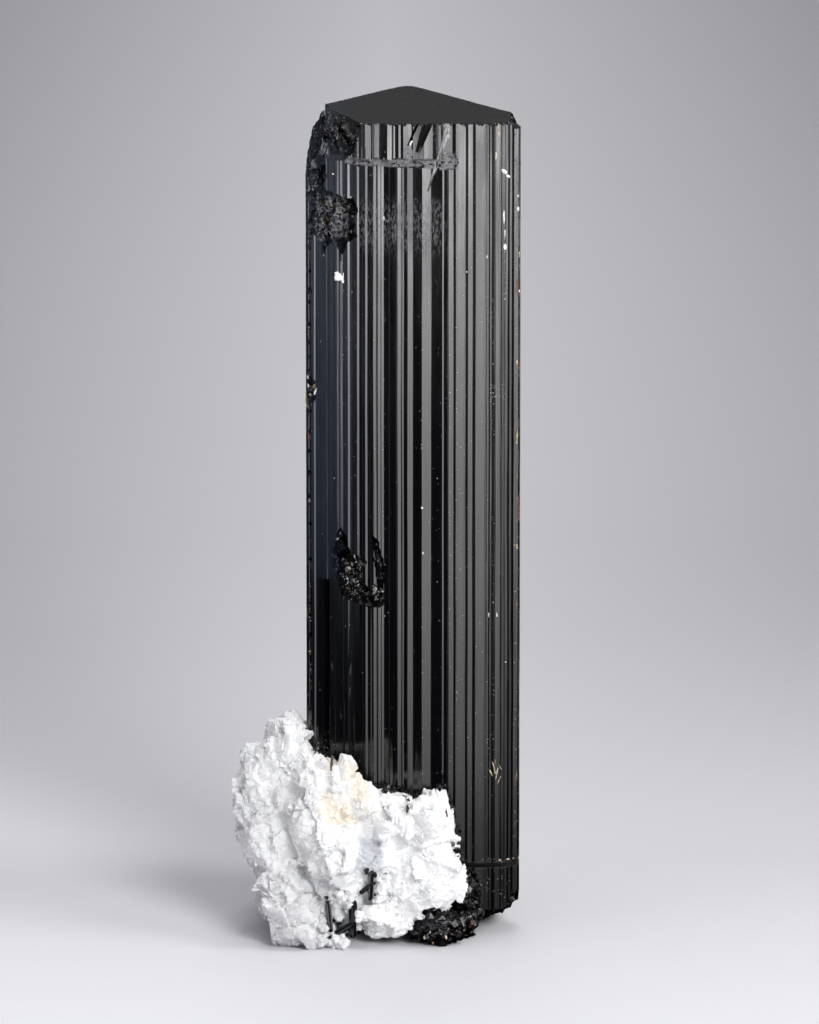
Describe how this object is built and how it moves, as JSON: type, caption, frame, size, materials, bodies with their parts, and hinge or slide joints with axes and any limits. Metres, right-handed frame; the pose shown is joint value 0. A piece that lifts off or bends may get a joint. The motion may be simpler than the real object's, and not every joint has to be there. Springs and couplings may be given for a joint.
{
  "type": "tourmaline crystal specimen",
  "caption": "Black tourmaline prism with a flat end face and ribs along its length, standing in a lump of white albite.",
  "frame": {"origin": "under the middle of the whole specimen, on the surface that it stands on", "axes": "+Z along the crystal, up to its flat end face; -Y is the pictured front, with the albite at its foot"},
  "size_m": [0.0378, 0.0352, 0.1082],
  "materials": {
    "black_tourmaline": "polished",
    "white_albite": "matte"
  },
  "bodies": {
    "root": {"tourmaline_crystal": "black_tourmaline", "small_tourmaline_left": "black_tourmaline", "small_tourmaline_centre": "black_tourmaline", "albite_matrix": "white_albite"}
  },
  "joints": []
}
